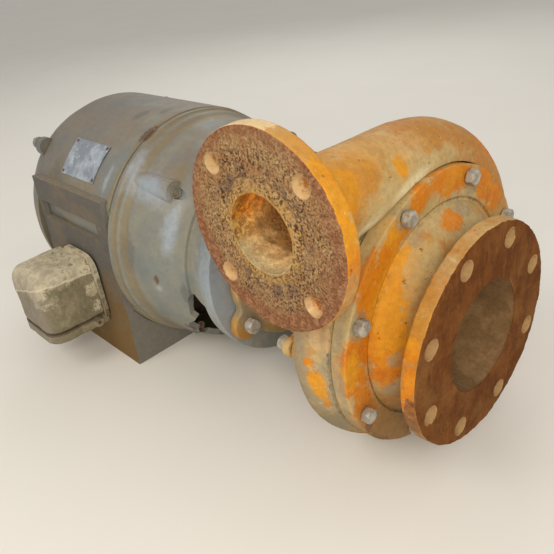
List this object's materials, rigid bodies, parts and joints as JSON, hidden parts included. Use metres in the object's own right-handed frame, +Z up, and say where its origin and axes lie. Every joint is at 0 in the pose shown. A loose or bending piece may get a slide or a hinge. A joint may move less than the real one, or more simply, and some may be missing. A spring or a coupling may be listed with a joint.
{
  "type": "centrifugal pump",
  "caption": "Close-coupled centrifugal pump: a rusty volute casing with a round suction flange and a side discharge flange, bolted to a gray electric motor on a low base",
  "frame": {"origin": "Middle of the pump's footprint, on the floor under the motor's soles", "axes": "+X along the shaft from the motor to the suction flange, +Z up; the discharge flange faces -Y"},
  "size_m": [0.826, 0.4618, 0.4381],
  "materials": {
    "pump_casting": "orange paint over cast iron, faded to khaki and gray in patches, with rust",
    "motor_gray": "dusty blue-gray paint with dirt in the corners and small rust marks",
    "conduit_paint": "pale paint, weathered and peeling",
    "fastener": "dull, dirty steel with traces of paint",
    "rusty_iron": "rough brown rust",
    "plate_metal": "thin bright sheet, dusty and blank",
    "winding": "dark varnished winding, dusty"
  },
  "bodies": {
    "root": {"suction_cover": "pump_casting", "volute_casing": "pump_casting", "bracket": "pump_casting", "cover_screw_1": "fastener", "cover_screw_2": "fastener", "cover_screw_3": "fastener", "cover_screw_4": "fastener", "cover_screw_5": "fastener", "cover_screw_6": "fastener", "cover_screw_7": "fastener", "cover_screw_8": "fastener", "bracket_bolt_1": "fastener", "bracket_bolt_2": "fastener", "bracket_bolt_3": "fastener", "bracket_bolt_4": "fastener", "casing_bolt_1": "fastener", "casing_bolt_2": "fastener", "casing_bolt_3": "fastener", "casing_bolt_4": "fastener", "impeller": "rusty_iron", "shaft": "rusty_iron", "seal_housing": "rusty_iron", "front_bell": "motor_gray", "through_bolt_1": "motor_gray", "through_bolt_2": "motor_gray", "through_bolt_3": "motor_gray", "through_bolt_4": "motor_gray", "end_winding": "winding", "stator_frame": "motor_gray", "front_foot": "motor_gray", "rear_foot": "motor_gray", "left_side_plate": "motor_gray", "right_side_plate": "motor_gray", "rear_bell": "motor_gray", "rear_nut_1": "motor_gray", "rear_nut_2": "motor_gray", "rear_nut_3": "motor_gray", "rear_nut_4": "motor_gray", "conduit_base": "conduit_paint", "conduit_cover": "conduit_paint", "nameplate": "plate_metal"}
  },
  "joints": []
}
